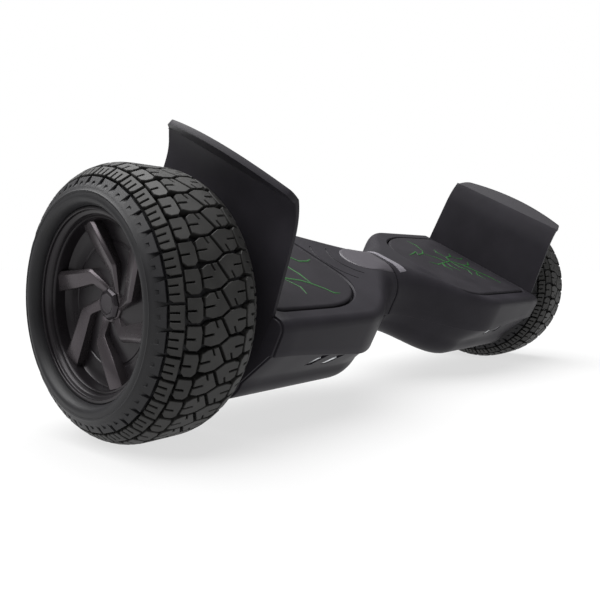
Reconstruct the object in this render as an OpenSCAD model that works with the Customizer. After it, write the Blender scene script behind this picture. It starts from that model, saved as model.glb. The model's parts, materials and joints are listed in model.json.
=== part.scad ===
// Self balancing two-wheel board with all-terrain hub-motor wheels.
// Everything on the body is drawn level, with the axle line as its origin: x runs along the axle,
// y towards the back and z up. stand() then leans the body forward about the axle line and lifts
// it to wheel height, which is how the board stands on the floor when it is switched off.
// The origin is on the floor, midway between the tyres, straight under the axle line.

/* [Overall] */
// Outside diameter of the tyres over the tread
tyre_d = 216; // [212:1:222]
// From the middle of the board to the middle plane of each tyre
half_track = 316; // [315:1:322]
// Forward lean of the body about the axle line when the board stands switched off
lean = 27; // [0:1:28]
// Gap between the two halves at the middle joint
middle_gap = 1.5; // [1:0.25:2.5]

/* [Body] */
// Half the depth of the body under the feet
foot_half_depth = 102; // [100:1:104]
// Half the depth of the body at the middle joint
waist_half_depth = 39; // [38:1:43]
// Height of the deck over the axle line
deck_z = 35; // [34:1:37]
// Height of the waist over the axle line
waist_top_z = 42; // [40:0.5:46]
// Depth of the underside below the axle line
belly_z = 63; // [62:1:66]
// Where the body reaches its full depth, measured from the middle
full_depth_x = 140; // [130:1:145]
// Where the body ends, measured from the middle
body_end_x = 254; // [253:1:255]
// Wall thickness of the plastic shells
wall = 3; // [2.5:0.5:3.5]

/* [Fenders] */
// Height of the fender lip over the axle line
lip_z = 134; // [128:1:136]
// How far the fender lip leans out over the tyre
lip_reach = 24; // [18:1:26]
// Half the width of the fender at its foot
fender_foot_half = 88; // [86:1:92]
// Half the width of the fender at its lip
fender_lip_half = 81; // [76:1:84]

/* [Foot mats] */
// Inner end of the left foot mat, measured from the middle
left_mat_inner_x = 101; // [100:1:106]
// Inner end of the right foot mat, measured from the middle
right_mat_inner_x = 75; // [74:1:92]
// Outer end of each foot mat, measured from the middle
mat_outer_x = 249; // [246:1:249]
// Half the width of each foot mat
mat_half = 81; // [79:1:84]
// How far each mat presses down
mat_travel = 1.5; // [1:0.25:1.75]

/* [Wheels] */
// Width of each tyre
tyre_w = 96; // [94:1:96]
// Radius where the tyre bead meets the rim
bead_r = 73.5; // [72:0.5:75]
// Radius of the axle inside the motor and the bearings
axle_r = 10; // [9:0.5:10]
// Number of spokes in the wheel cover
spokes = 6; // [5:1:8]
// Number of motor magnets
magnet_count = 30; // [20:2:30]
// Number of teeth on the motor stator
stator_teeth = 27; // [18:3:27]

/* [Middle joint] */
// Radius of the steel shaft that joins the halves
shaft_r = 15; // [14:0.5:16]
// Bore of that shaft, which carries the cable bundle
shaft_bore_r = 9; // [7:0.5:10]
// Radial running clearance of shafts in their bearings
running_fit = 0.05; // [0.03:0.01:0.08]

/* [Controls] */
// Radius of the power button
button_r = 8; // [7:0.5:9]
// Travel of the power button
button_travel = 1.5; // [1:0.25:2]
// Radius of the hole in the charging socket
socket_r = 8; // [7:0.5:9]

/* [Hidden] */
$fn = 96;
slack = 0.2;       // gap between a cut-out and the fixed piece that fills it
screw_gap = 0.1;   // radial gap round a screw's shank

// Body sections, as (half depth, height) outlines that change along x
waist_corner_r = 30;
foot_corner_r = 9;
waist_low_half = 32;
foot_low_half = 81;
waist_low_z = -22;
waist_low_r = 20;
foot_low_r = 30;
foot_low_z = foot_low_r - belly_z;
low_full_x = 120;
seam_waist_z = -10;
seam_foot_z = 5;
seam_start_x = 70;
seam_end_x = 266;
seam_step = 2.5;        // the lower shell sits this far inside the upper one at the seam
waist_stations = 12;
foot_stations = 3;
arc_steps = 6;

// Foot mats and their pockets
left_mat_front = [80, 61];   // half axes of the round corner at the front of the inner end
left_mat_back = [43, 42];
right_mat_front = [43, 42];
right_mat_back = [98, 70];
mat_outer_r = 12;
mat_top_z = deck_z + 1;
mat_gap = 0.8;
pocket_floor_z = deck_z - 6.5;
tray_thick = 2.5;
tray_rim = 3;
mat_floor_gap = 0.4;
peg_r = 7;
peg_x = 128;
peg_y = 38;
peg_low_z = 25;

// Screws that hold the shells to the frame: [x, half spacing in y]
shell_screw_places = [[62, 34], [150, 62], [226, 62]];
shell_screw_r = 2;
shell_screw_head_r = 3.6;
boss_r = 5.5;

// Frame casting and axle clamp
plate_top_z = -13;
plate_low_z = -18;
boss_outer_r = 26;
boss_end_x = 58;
washer_start_x = 3;
clamp_x = [178, 232];
clamp_half_y = 24;
clamp_top_z = 18;
clamp_bolt_r = 3;
clamp_bolt_x = 9;
clamp_bolt_y = 17;
sensor_board_z = 14;
sensor_board_x = [98, 168];
sensor_board_y = 50;
sensor_board_hole = 5;

// Front light slots on the sloping lower panel: inner edge of each slot, measured from the middle
light_x = [152, 176];
light_w = 9;
light_skew = 8;
light_h = 17;
light_drop = 11.5;
lens_thick = 4;

// Motor and wheel, as heights along the axle from the wheel's middle plane, outwards positive
stator_r = 52.9;
stator_low = -19;
stator_high = 9;
motor_r = 57;
seat_r = 69.5;
magnet_thick = 2.8;
bearing_r = 21;
bearing_w = 12;
inner_bearing_h = -30.5;
outer_bearing_h = 3;
axle_start_x = 168;
axle_end_h = 15.5;
axle_bore_r = 4.5;
cover_screw_count = 9;
cover_screw_pcd_r = 60.5;
cover_screw_r = 1.5;
hub_face_h = 22;
hub_cap_r = 12.5;
spoke_phase = 48;

// Middle joint and controls
bush_r = 19;
pin_r = 3;
pin_x = 30;
pin_top = 23;
twist_limit = 10;
end_wall_x = 4;
battery_x = [121, 234];
battery_half = 45;
battery_lug_y = 48.3;
battery_screw_x = [134, 222];
battery_screw_r = 1.5;
cover_half = 51;
rear_control_x = 150;
rear_control_z = 14;

function mix(a, b, k) = a + (b - a) * k;
function ease(t) = let (u = min(1, max(0, t))) u * u * (3 - 2 * u);
function reversed(list) = [for (i = [len(list) - 1:-1:0]) list[i]];
function mirrored(points) = [for (p = points) [-p[0], p[1]]];
function other_side(points) = [for (p = points) [p[0], -p[1]]];

// Body shape along x
function half_depth(x) = mix(waist_half_depth, foot_half_depth, ease(x / full_depth_x));
function top_z(x) = mix(waist_top_z, deck_z, ease(x / full_depth_x));
function corner_r(x) = mix(waist_corner_r, foot_corner_r, ease(x / full_depth_x));
function seam_z(x) = mix(seam_waist_z, seam_foot_z, ease((x - seam_start_x) / (seam_end_x - seam_start_x)));
function low_half(x) = mix(waist_low_half, foot_low_half, ease(x / low_full_x));
function low_z(x) = mix(waist_low_z, foot_low_z, ease(x / low_full_x));
function low_r(x) = mix(waist_low_r, foot_low_r, ease(x / low_full_x));

// Upper outline from the front seam over the deck to the back seam, moved inwards by e
function upper_half(x, e) = let (
        d = half_depth(x) - e,
        t = top_z(x) - e,
        r = max(corner_r(x) - e, 2))
    concat([[d, seam_z(x)]],
        [for (i = [0:arc_steps]) let (a = 90 * i / arc_steps)
            [d - r + r * cos(a), t - r + r * sin(a)]],
        [[(d - r) / 2, t]]);
function upper_outline(x, e) = concat(mirrored(upper_half(x, e)), [[0, top_z(x) - e]],
    reversed(upper_half(x, e)));

// Lower outline from the front seam under the belly to the back seam, moved inwards by e
function lower_half(x, e) = let (
        d = low_half(x) - e,
        r = low_r(x) - e,
        z = low_z(x))
    concat([[half_depth(x) - seam_step - e, seam_z(x)]],
        [for (i = [0:arc_steps]) let (a = 90 * i / arc_steps)
            [d - r + r * cos(a), z - r * sin(a)]],
        [[(d - r) / 2, z - r]]);
function lower_outline(x, e) = concat(mirrored(lower_half(x, e)), [[0, low_z(x) - low_r(x) + e]],
    reversed(lower_half(x, e)));

// Height of the middle of the lower wall under a point that is y away from the centre line
function floor_z(x, y) = let (
        r = low_r(x) - wall / 2,
        side = max(0, y - low_half(x) + low_r(x)))
    low_z(x) - sqrt(r * r - side * side);

function stations() = concat(
    [for (i = [0:waist_stations])
        mix(middle_gap / 2, full_depth_x, i / waist_stations)],
    [for (i = [1:foot_stations]) mix(full_depth_x, body_end_x, i / foot_stations)]);

// A wall between two outlines, carried along the stations as one closed solid
module wall_loft(outer, inner) {
    rows = len(outer);
    n = len(outer[0]);
    xs = stations();
    points = [for (i = [0:rows - 1]) each concat(
        [for (p = outer[i]) [xs[i], p[0], p[1]]],
        [for (j = [n - 1:-1:0]) [xs[i], inner[i][j][0], inner[i][j][1]]])];
    m = 2 * n;
    sides = [for (i = [0:rows - 2], j = [0:m - 1]) let (
            a = i * m + j,
            b = i * m + (j + 1) % m,
            c = a + m,
            d = b + m)
        each [[a, b, d], [a, d, c]]];
    caps = [for (j = [0:n - 2]) let (
            a = j,
            b = j + 1,
            c = m - 2 - j,
            d = m - 1 - j,
            k = (rows - 1) * m)
        each [[a, c, b], [a, d, c], [k + a, k + b, k + c], [k + a, k + c, k + d]]];
    polyhedron(points = points, faces = concat(sides, caps));
}

module upper_wall(out, inn) {
    wall_loft([for (x = stations()) upper_outline(x, out)], [for (x = stations()) upper_outline(x, inn)]);
}

module lower_wall(out, inn) {
    wall_loft([for (x = stations()) reversed(lower_outline(x, out))],
        [for (x = stations()) reversed(lower_outline(x, inn))]);
}

// Placing: pieces are drawn for the right half at +x and mirrored for the left half
module stand() { translate([0, 0, tyre_d / 2]) rotate([lean, 0, 0]) children(); }
module on_side(side) { stand() mirror([side == "left" ? 1 : 0, 0, 0]) children(); }
module along_x(x) { translate([x, 0, 0]) rotate([90, 0, 90]) children(); }
module turned(points) { rotate([0, 90, 0]) rotate_extrude() polygon(points); }
module on_wheel(side) { on_side(side) translate([half_track, 0, 0]) children(); }
module rod_x(r, from_x, to_x) { translate([from_x, 0, 0]) rotate([0, 90, 0]) cylinder(r = r, h = to_x - from_x); }
module block(from, to) { translate(from) cube(to - from); }
module both_y(y) { for (s = [-1, 1]) translate([0, s * y, 0]) children(); }
module shell_screw_spots() { for (p = shell_screw_places, s = [-1, 1]) translate([p[0], s * p[1], 0]) children(); }

// Outline of a foot mat seen from above, with big oval corners towards the middle
module mat_outline(side, grow) {
    inner = side == "left" ? left_mat_inner_x : right_mat_inner_x;
    front = side == "left" ? left_mat_front : right_mat_front;
    back = side == "left" ? left_mat_back : right_mat_back;
    outer = mat_outer_x - mat_outer_r;
    side_y = mat_half - mat_outer_r;
    r = mat_outer_r;
    offset(delta = grow) polygon(concat(
        [for (a = [0:6:90]) [outer + r * cos(a), side_y + r * sin(a)]],
        [for (a = [90:4:178]) [inner + back[0] * (1 + cos(a)), mat_half - back[1] * (1 - sin(a))]],
        [for (a = [182:4:270]) [inner + front[0] * (1 + cos(a)), front[1] * (1 + sin(a)) - mat_half]],
        [for (a = [270:6:354]) [outer + r * cos(a), -side_y + r * sin(a)]]));
}

module frame_casting(side) {
    bore = side == "left" ? shaft_r + running_fit / 2 : bush_r + running_fit / 2;
    start = side == "left" ? 2 : washer_start_x;
    end = side == "left" ? boss_end_x + 8 : boss_end_x;
    color("silver") on_side(side) difference() {
        union() {
            translate([0, 0, plate_low_z]) linear_extrude(plate_top_z - plate_low_z)
                polygon([[30, -28], [70, -46], [130, -70], [240, -70], [240, 70], [130, 70], [70, 46], [30, 28]]);
            rod_x(boss_outer_r, start, end);
            block([clamp_x[0], -clamp_half_y, plate_low_z], [clamp_x[1], clamp_half_y, 0]);
            both_y(46) block([84, -2, plate_top_z - 1], [238, 2, -2]);
            block([236, -58, -40], [240, 58, 18]);
            for (x = [sensor_board_x[0] + sensor_board_hole, sensor_board_x[1] - sensor_board_hole])
                both_y(sensor_board_y - sensor_board_hole)
                    translate([x, 0, plate_low_z + 1]) cylinder(r = 4, h = sensor_board_z - plate_low_z - 1);
        }
        rod_x(bore, -1, 100);
        rod_x(axle_r + running_fit / 2, 150, 235);
        rod_x(14, 234, 242);
        for (x = [clamp_x[0] + clamp_bolt_x, clamp_x[1] - clamp_bolt_x])
            both_y(clamp_bolt_y) translate([x, 0, -30]) cylinder(r = clamp_bolt_r + screw_gap, h = 40);
        shell_screw_spots() translate([0, 0, -30]) cylinder(r = shell_screw_r + screw_gap, h = 30);
        block([140, -18, plate_low_z - 1], [168, 18, plate_top_z + 1]);
        if (side == "right")
            block([pin_x - pin_r - 0.4, -pin_slot_half(), shaft_r - 2],
                [pin_x + pin_r + 0.4, pin_slot_half(), boss_outer_r + 1]);
    }
}

// Half the width of the slot that lets the halves twist by twist_limit each way
function pin_slot_half() = pin_top * sin(twist_limit) + pin_r + 0.4;

module top_shell(side) {
    color("#2b2b2e") on_side(side) difference() {
        union() {
            upper_wall(0, wall);
            end_wall(upper_outline(end_wall_x, plate_inset));
            translate([0, 0, pocket_floor_z - tray_thick]) linear_extrude(deck_z - pocket_floor_z + tray_thick - 1)
                mat_outline(side, tray_rim);
            for (p = shell_screw_places) both_y(p[1]) translate([p[0], 0, plate_top_z + 0.1])
                cylinder(r = boss_r, h = top_z(p[0]) - wall / 2 - plate_top_z);
        }
        translate([0, 0, pocket_floor_z]) linear_extrude(20) mat_outline(side, mat_gap);
        both_y(peg_y) translate([peg_x, 0, 0]) cylinder(r = peg_r + 1, h = 60);
        shell_screw_spots() translate([0, 0, plate_top_z - 1])
            cylinder(r = shell_screw_r + screw_gap, h = 20);
        if (side == "left") {
            translate([rear_control_x, 80, rear_control_z]) rotate([-90, 0, 0]) cylinder(r = 11 + slack, h = 30);
            translate([0, 0, 20]) linear_extrude(40) lens_outline(slack);
        } else {
            translate([rear_control_x, 80, rear_control_z]) rotate([-90, 0, 0])
                cylinder(r = button_r + 0.4, h = 30);
            translate([0, 0, 20]) linear_extrude(40) trim_outline(slack);
        }
    }
}

// Wall that closes the end of a shell round the boss of the frame
module end_wall(points) {
    difference() {
        along_x(end_wall_x) linear_extrude(2.5) polygon(points);
        rod_x(boss_outer_r + 0.5, 0, end_wall_x + 5);
    }
}

// Lug inside the lower shell that takes a screw of the battery cover
module battery_lug(x) {
    for (s = [-1, 1]) translate([x, s * battery_lug_y, 0])
        block([-6, min(-2.4, s * 12), -belly_z + wall + 0.2], [6, max(2.4, s * 12), -belly_z + 13]);
}

module light_slots(grow, thick) {
    x_mid = light_x[0];
    drop = [low_half(x_mid) - half_depth(x_mid), low_z(x_mid) - seam_z(x_mid)];
    tilt = atan2(-drop[0], -drop[1]);
    for (x = light_x)
        translate([x, -half_depth(x) + seam_step, seam_z(x)]) rotate([tilt, 0, 0]) rotate([90, 0, 0])
            translate([0, -light_drop - light_h / 2, -thick]) linear_extrude(thick + 2 * grow)
                polygon([[light_skew - grow, -grow], [light_skew + light_w + grow, -grow],
                    [light_w + grow, light_h + grow], [-grow, light_h + grow]]);
}

module bottom_shell(side) {
    color("#2b2b2e") on_side(side) difference() {
        union() {
            lower_wall(0, wall);
            end_wall(reversed(lower_outline(end_wall_x, plate_inset)));
            if (side == "left") for (x = battery_screw_x) battery_lug(x);
            for (p = shell_screw_places) both_y(p[1]) translate([p[0], 0, floor_z(p[0], p[1])])
                cylinder(r = boss_r, h = plate_low_z - 0.1 - floor_z(p[0], p[1]));
        }
        shell_screw_spots() translate([0, 0, -80]) cylinder(r = shell_screw_r + screw_gap, h = 80);
        shell_screw_spots() translate([0, 0, -80]) cylinder(r = shell_screw_head_r + screw_gap, h = 41);
        light_slots(slack, 8);
        if (side == "left") {
            block([battery_x[0] - 3, -cover_half - 0.4, -80],
                [battery_x[1] + 3, cover_half + 0.4, -belly_z + wall + 0.1]);
            battery_screw_spots() cylinder(r = battery_screw_r + screw_gap, h = 15);
        }
    }
}

// Fender: a curved mudguard that closes the end of the body and rises past the deck
fender_x = body_end_x + 0.3;
fender_thick = 3;
lip_thick = 5.5;
lip_front_r = 3;
lip_back_r = 14;
lip_shift = 6;         // the lip sits this far behind the middle of the deck
roll_height = 44;      // from the start of the flare to the lip
plate_inset = 1.5;
flare_steps = 8;
function flare(i, e) = let (a = 82 * i / flare_steps)
    [fender_x + lip_reach * (1 - cos(a)) + e * cos(a), lip_z - roll_height * (1 - sin(a)) - e * sin(a) * 0.9];

// The fender gets thicker towards its lip
function fender_thickness(i) = mix(fender_thick, lip_thick, pow(i / flare_steps, 3));

module fender(side) {
    plate = concat(upper_outline(body_end_x, plate_inset), reversed(lower_outline(body_end_x, plate_inset)));
    color("#2b2b2e") on_side(side) difference() {
        union() {
            along_x(fender_x) linear_extrude(fender_thick) polygon(plate);
            intersection() {
                translate([0, 120, 0]) rotate([90, 0, 0]) linear_extrude(240)
                    polygon(concat([[fender_x, 0]],
                        [for (i = [0:flare_steps]) flare(i, 0)],
                        [for (i = [flare_steps:-1:0]) flare(i, fender_thickness(i))],
                        [[fender_x + fender_thick, 0]]));
                along_x(fender_x - 5) linear_extrude(60) fender_outline();
            }
        }
        rod_x(14, fender_x - 1, fender_x + fender_thick + 1);
    }
}

// Fender seen along the axle: its top is round at the back and nearly square at the front
module fender_outline() {
    top = lip_z + 3;
    front = lip_shift - fender_lip_half;
    back = lip_shift + fender_lip_half;
    union() {
        polygon([[-fender_foot_half, 0], [-fender_foot_half, deck_z], [front, top - lip_front_r],
            [front + lip_front_r, top], [back - lip_back_r, top], [back, top - lip_back_r],
            [fender_foot_half, deck_z], [fender_foot_half, 0]]);
        translate([front + lip_front_r, top - lip_front_r]) circle(r = lip_front_r);
        translate([back - lip_back_r, top - lip_back_r]) circle(r = lip_back_r);
    }
}

module foot_mat(side) {
    low = pocket_floor_z + mat_travel + mat_floor_gap;
    color("#1c1c1d") on_side(side) union() {
        translate([0, 0, low]) linear_extrude(mat_top_z - low) mat_outline(side, 0);
        both_y(peg_y) translate([peg_x, 0, peg_low_z]) cylinder(r = peg_r, h = low - peg_low_z + 0.5);
    }
}

module sensor_board(side) {
    color("darkgreen") on_side(side) difference() {
        union() {
            block([sensor_board_x[0], -sensor_board_y, sensor_board_z],
                [sensor_board_x[1], sensor_board_y, sensor_board_z + 1.6]);
            both_y(peg_y) block([peg_x - 6, -4, sensor_board_z + 1], [peg_x + 6, 4, peg_low_z - mat_travel - 0.7]);
            block([peg_x + 12, -10, sensor_board_z + 1], [peg_x + 30, 10, sensor_board_z + 4]);
        }
        for (x = [sensor_board_x[0] + sensor_board_hole, sensor_board_x[1] - sensor_board_hole])
            both_y(sensor_board_y - sensor_board_hole) translate([x, 0, 0]) cylinder(r = 1.6, h = 40);
    }
}

module axle_clamp(side) {
    color("gray") on_side(side) difference() {
        block([clamp_x[0], -clamp_half_y, 0.2], [clamp_x[1], clamp_half_y, clamp_top_z]);
        rod_x(axle_r + running_fit / 2, 150, 240);
        for (x = [clamp_x[0] + clamp_bolt_x, clamp_x[1] - clamp_bolt_x])
            both_y(clamp_bolt_y) translate([x, 0, 0]) cylinder(r = clamp_bolt_r + screw_gap, h = 40);
    }
}

module clamp_bolts(side) {
    color("dimgray") on_side(side)
        for (x = [clamp_x[0] + clamp_bolt_x, clamp_x[1] - clamp_bolt_x])
            both_y(clamp_bolt_y) translate([x, 0, 0]) difference() {
                union() {
                    translate([0, 0, plate_low_z + 1]) cylinder(r = clamp_bolt_r, h = clamp_top_z - plate_low_z);
                    translate([0, 0, clamp_top_z]) cylinder(r = 5, h = 5);
                }
                translate([0, 0, clamp_top_z + 2.5]) cylinder(r = 2.9, h = 5, $fn = 6);
            }
}

module shell_screws(side) {
    head_z = -39;
    color("dimgray") on_side(side) shell_screw_spots() difference() {
        union() {
            translate([0, 0, head_z]) cylinder(r = shell_screw_r, h = 40);
            translate([0, 0, head_z - 2.5]) cylinder(r = shell_screw_head_r, h = 2.5);
        }
        for (a = [0, 90]) translate([0, 0, head_z - 2.5]) rotate([0, 0, a]) cube([4, 0.9, 2.4], center = true);
    }
}

module light_lenses(side) { color("white") on_side(side) light_slots(0, lens_thick); }

module axle(side) {
    color("lightgray") on_side(side) difference() {
        rod_x(axle_r, axle_start_x, half_track + axle_end_h);
        rod_x(axle_bore_r, axle_start_x - 1, half_track + stator_low - 2);
        translate([half_track + stator_low - 6.5, 0, 0]) cylinder(r = axle_bore_r - 0.5, h = axle_r + 1);
    }
}

module stator(side) {
    color("#6a6f74") on_wheel(side) difference() {
        union() {
            turned([[axle_r, -16], [30, -16], [30, 0], [axle_r, 0]]);
            along_x(stator_low) linear_extrude(stator_high - stator_low) union() {
                circle(r = 34);
                for (i = [0:stator_teeth - 1]) rotate(360 * i / stator_teeth) {
                    translate([33, -2]) square([17, 4]);
                    intersection() {
                        circle(r = stator_r);
                        translate([48, -5.2]) square([8, 10.4]);
                    }
                }
            }
        }
        rod_x(axle_r + running_fit / 2, stator_low - 1, stator_high + 1);
        rod_x(28, stator_low - 1, -16);
        rod_x(28, 0, stator_high + 1);
    }
}

module windings(side) {
    color("#b5703a") on_wheel(side)
        for (i = [0:stator_teeth - 1]) rotate([360 * i / stator_teeth, 0, 0]) difference() {
            block([stator_low - 3, 34.6, -3.9], [stator_high + 3, 47.4, 3.9]);
            block([stator_low - 0.1, 34, -2.1], [stator_high + 0.1, 48, 2.1]);
        }
}

module motor_cable(side) {
    color("#222222") on_side(side) union() {
        rod_x(axle_bore_r - 0.5, 152, half_track + stator_low - 4);
        block([140, -9, -6], [152.5, 9, 6]);
    }
}

module tyre(side) {
    steps = 8;
    half_w = tyre_w / 2;
    shoulder = 34;
    crown = tyre_d / 2 - shoulder;
    skin = 7.5;
    outer = [for (i = [0:steps]) let (a = 68 * i / steps)
        [crown + shoulder * cos(a), half_w - shoulder + shoulder * sin(a)]];
    bead = [[80.5, half_w - 0.7], [76.5, half_w - 2], [74.2, half_w - 5], [bead_r + 0.3, half_w - 8]];
    inner = [for (i = [0:steps]) let (a = 78 * (1 - i / steps))
        [crown + (shoulder - skin) * cos(a), half_w - shoulder + (shoulder - skin) * sin(a)]];
    outward = concat(outer, bead, [[bead_r + 0.3, 35.8], [seat_r + 0.1, 34.8], [seat_r + 0.1, 28]]);
    color("#161616") on_wheel(side) turned(concat(
        reversed(other_side(outward)), outward, inner, reversed(other_side(inner))));
}

module rim(side) {
    color("#3a3c40") on_wheel(side) difference() {
        turned([[bead_r, 39.5], [bead_r, 36], [seat_r, 35], [seat_r, -35], [bead_r, -36], [bead_r, -39.5],
            [70.5, -39.5], [64, -33], [64, -27], [motor_r, -27], [motor_r, 14], [26, 14],
            [26, outer_bearing_h - 1], [bearing_r, outer_bearing_h - 1],
            [bearing_r, outer_bearing_h + bearing_w], [12, outer_bearing_h + bearing_w],
            [12, axle_end_h + 0.7], [0, axle_end_h + 0.7], [0, 18.5], [57, 18.5], [66.5, 21.5],
            [67, 33.5], [68.3, 36], [70.8, 37], [70.8, 39.5]]);
        cover_screw_spots() rod_x(cover_screw_r + screw_gap, -28, -16);
    }
}

module cover_screw_spots() {
    for (i = [0:cover_screw_count - 1]) rotate([360 * i / cover_screw_count, 0, 0])
        translate([0, cover_screw_pcd_r, 0]) children();
}

module magnets(side) {
    color("#9aa0a6") on_wheel(side) for (i = [0:magnet_count - 1]) rotate([360 * i / magnet_count, 0, 0])
        block([stator_low, motor_r - 0.8 - magnet_thick, -5], [stator_high, motor_r - 0.8, 5]);
}

module side_cover(side) {
    color("#3a3c40") on_wheel(side) difference() {
        turned([[bearing_r, -32.5], [bearing_r, inner_bearing_h + bearing_w], [26, inner_bearing_h + bearing_w],
            [26, -27.1], [63.9, -27.1], [63.9, -31], [30, -31], [28, -32.5]]);
        cover_screw_spots() rod_x(cover_screw_r + screw_gap, -40, -20);
    }
}

module side_cover_screws(side) {
    color("dimgray") on_wheel(side) cover_screw_spots() union() {
        rod_x(cover_screw_r, -31, -17);
        rod_x(2.8, -33, -31);
    }
}

module wheel_bearings(side) {
    color("gainsboro") on_wheel(side) for (h = [inner_bearing_h, outer_bearing_h]) difference() {
        rod_x(bearing_r, h, h + bearing_w);
        rod_x(axle_r + running_fit, h - 1, h + bearing_w + 1);
        rod_x(17, h - 1, h + 0.6);
        rod_x(17, h + bearing_w - 0.6, h + bearing_w + 1);
    }
}

// One spoke seen along the axle: it leaves the hub, bends and runs on to the rim
module spoke_outline() {
    polygon([[64.2, -8.5], [64.2, 8.5], [26.5, 21.4], [5.3, 12.5], [8.9, 4.3], [22.1, 10.2]]);
}

module wheel_cover(side) {
    color("#4a4b50") on_wheel(side) union() {
        turned([[0, 18.8], [56.9, 18.8], [66.2, 21.8], [66.7, 33], [64.6, 33], [63.8, 23], [56.4, 20.4], [0, 20.4]]);
        intersection() {
            for (i = [0:spokes - 1]) rotate([spoke_phase + 360 * i / spokes, 0, 0])
                along_x(20) linear_extrude(12) spoke_outline();
            turned([[0, 19.5], [56.5, 19.5], [64.5, 22.3], [65, 31], [hub_cap_r + 1, hub_face_h], [0, hub_face_h]]);
        }
        rod_x(hub_cap_r + 1, 20, hub_face_h);
    }
}

module hub_cap(side) {
    color("#55565b") on_wheel(side) union() {
        translate([hub_face_h, 0, 0]) rotate([0, 90, 0]) cylinder(r = hub_cap_r, h = 2, $fn = 8);
        translate([hub_face_h + 2, 0, 0]) rotate([0, 90, 0]) cylinder(r = 9, h = 1.2, $fn = 8);
    }
}

module centre_shaft() {
    color("lightgray") stand() difference() {
        rod_x(shaft_r, -62, 64);
        rod_x(shaft_bore_r, -63, 65);
        difference() {
            rod_x(shaft_r + 1, boss_end_x + 0.5, boss_end_x + 2);
            rod_x(shaft_r - 1.2, boss_end_x, boss_end_x + 3);
        }
        translate([pin_x, 0, shaft_bore_r - 2]) cylinder(r = pin_r, h = 20);
    }
}

module centre_bush() {
    color("#c9a24a") stand() difference() {
        rod_x(bush_r, washer_start_x, boss_end_x);
        rod_x(shaft_r + running_fit, washer_start_x - 1, boss_end_x + 1);
        block([pin_x - pin_r - 0.4, -pin_slot_half(), shaft_r - 4],
            [pin_x + pin_r + 0.4, pin_slot_half(), bush_r + 4]);
    }
}

module centre_seal() {
    color("#111111") stand() difference() {
        rod_x(24, -1.6, washer_start_x - 0.1);
        rod_x(shaft_r + 0.3, -3, washer_start_x + 1);
    }
}

module shaft_circlip() {
    color("#777777") stand() difference() {
        rod_x(shaft_r + 3, boss_end_x + 0.7, boss_end_x + 1.8);
        rod_x(shaft_r - 1.1, boss_end_x, boss_end_x + 3);
        block([boss_end_x, -4, 0], [boss_end_x + 3, 4, 30]);
    }
}

module limit_pin() {
    color("dimgray") stand() translate([pin_x, 0, shaft_bore_r + 0.5]) cylinder(r = pin_r, h = pin_top - shaft_bore_r - 0.5);
}

module bridge_cable() {
    color("#222222") stand() union() {
        rod_x(6, -78, 78);
        block([-92, -8, -5], [-77, 8, 5]);
        block([77, -5, -5], [92, 5, 5]);
    }
}

module battery_screw_spots() {
    for (x = battery_screw_x) both_y(battery_lug_y) translate([x, 0, -belly_z]) children();
}

module battery_pack() {
    color("#2f5d9b") on_side("left") difference() {
        block([battery_x[0], -battery_half, -belly_z + wall + 0.6], [battery_x[1], battery_half, plate_low_z - 4]);
        for (y = [-30, -10, 10, 30]) block([battery_x[0] - 1, y - 1, -24], [battery_x[1] + 1, y + 1, -20]);
    }
}

module battery_cover() {
    color("#242427") on_side("left") difference() {
        block([battery_x[0] - 2.6, -cover_half, -belly_z], [battery_x[1] + 2.6, cover_half, -belly_z + wall]);
        battery_screw_spots() translate([0, 0, -1]) cylinder(r = battery_screw_r + screw_gap, h = wall + 2);
        battery_screw_spots() translate([0, 0, -1]) cylinder(r = 3.1, h = 2.8);
        for (i = [0:5]) block([142 + 14 * i, -30, -belly_z - 1], [146 + 14 * i, 30, -belly_z + 1]);
    }
}

module battery_cover_screws() {
    color("dimgray") on_side("left") battery_screw_spots() union() {
        translate([0, 0, 0.3]) cylinder(r = 2.9, h = 1.5);
        translate([0, 0, 1.7]) cylinder(r = battery_screw_r, h = 9);
    }
}

module main_board() {
    board_z = -50;
    color("darkgreen") on_side("right") union() {
        block([104, -42, board_z], [222, 42, board_z + 1.6]);
        block([112, -38, board_z + 1.5], [134, 38, board_z + 16]);
        for (i = [0:2]) translate([156, 22 * (i - 1), board_z + 1.5]) cylinder(r = 9, h = 18);
        block([180, -30, board_z + 1.5], [200, 30, board_z + 6]);
        for (x = [124, 216]) both_y(38) translate([x, 0, -belly_z + wall]) cylinder(r = 3, h = belly_z - wall + board_z + 1);
    }
}

module power_button() {
    face = foot_half_depth;
    color("#b8bcc2") on_side("right") translate([rear_control_x, 0, rear_control_z]) rotate([-90, 0, 0]) union() {
        translate([0, 0, face - 8]) cylinder(r = button_r, h = 9 + button_travel);
        translate([0, 0, face - 8]) cylinder(r = button_r + 2, h = 7.7 - wall);
    }
}

module charge_port() {
    face = foot_half_depth;
    color("#8a8d92") on_side("left") translate([rear_control_x, 0, rear_control_z]) union() {
        rotate([-90, 0, 0]) difference() {
            union() {
                translate([0, 0, face - 16]) cylinder(r = 11, h = 17);
                translate([0, 0, face + 0.1]) cylinder(r = 13, h = 2);
            }
            translate([0, 0, face - 6]) cylinder(r = socket_r, h = 20);
            translate([0, 0, face - 10]) cylinder(r = socket_r - 1.5, h = 20);
        }
        rotate([-90, 0, 0]) for (a = [90, 210, 330]) rotate([0, 0, a]) translate([4, 0, face - 11])
            cylinder(r = 1.2, h = 4.5);
        block([-3, face + 0.1, 12], [3, face + 2.1, hinge_z + 1]);
        translate([-8, face + hinge_out, hinge_z]) rotate([0, 90, 0]) cylinder(r = 1, h = 16);
        block([-3, face + 2, hinge_z - 1], [3, face + hinge_out, hinge_z + 1]);
    }
}

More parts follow.
